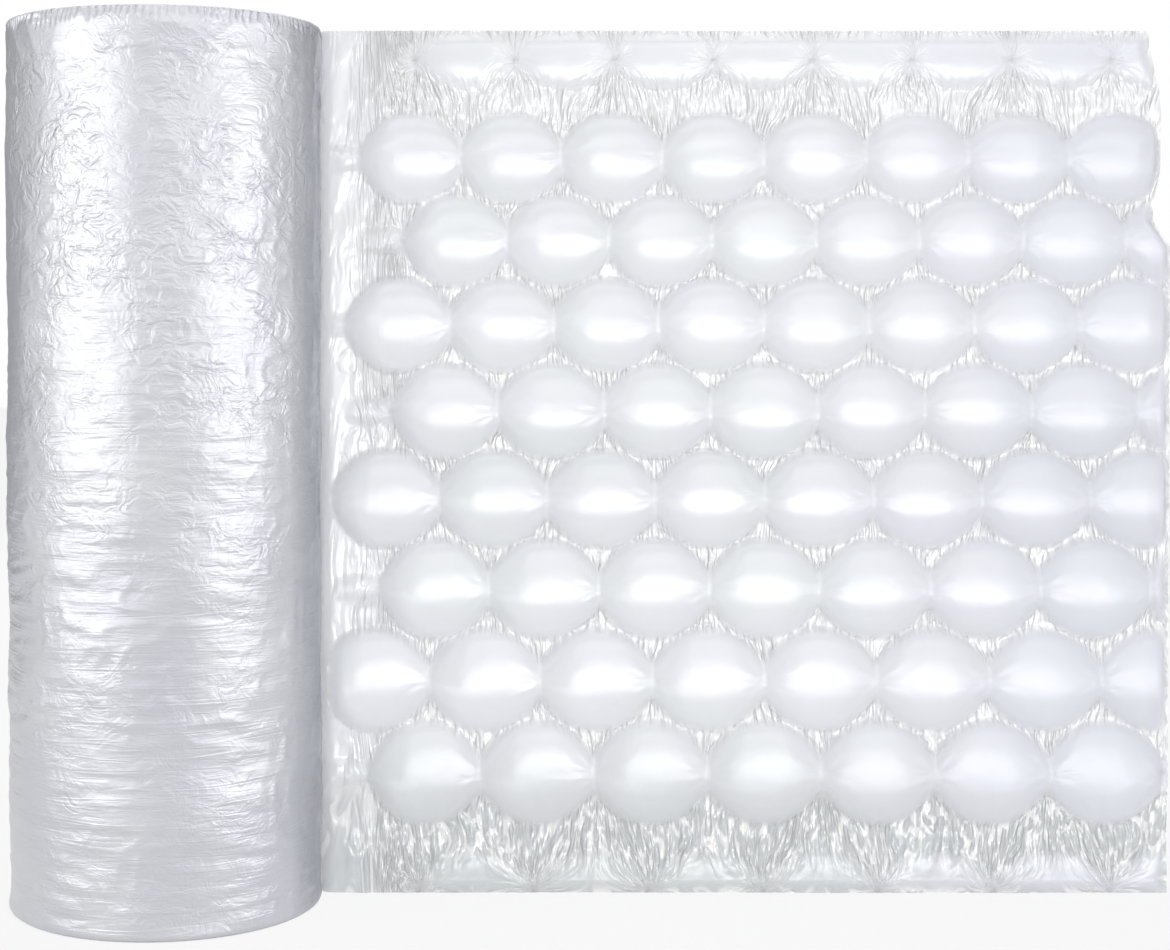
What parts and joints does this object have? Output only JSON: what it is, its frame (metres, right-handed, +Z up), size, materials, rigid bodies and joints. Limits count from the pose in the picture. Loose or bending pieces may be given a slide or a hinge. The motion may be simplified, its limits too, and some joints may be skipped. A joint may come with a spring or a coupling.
{
  "type": "air cell film roll",
  "caption": "Upright roll of wound air cell film on a paperboard core, with its free end drawn off and inflated into rows of round cells.",
  "frame": {"origin": "on the roll's axis at its base, where the lower end of the core's bore lies", "axes": "+Z up the roll's axis, +X along the drawn-off film, -Y the side that the film's open view faces"},
  "size_m": [0.5355, 0.143, 0.4],
  "materials": {
    "film": "glossy translucent film",
    "paperboard": "bare spiral-wound paperboard"
  },
  "bodies": {
    "root": {"film_web": "film", "paper_core": "paperboard"}
  },
  "joints": []
}
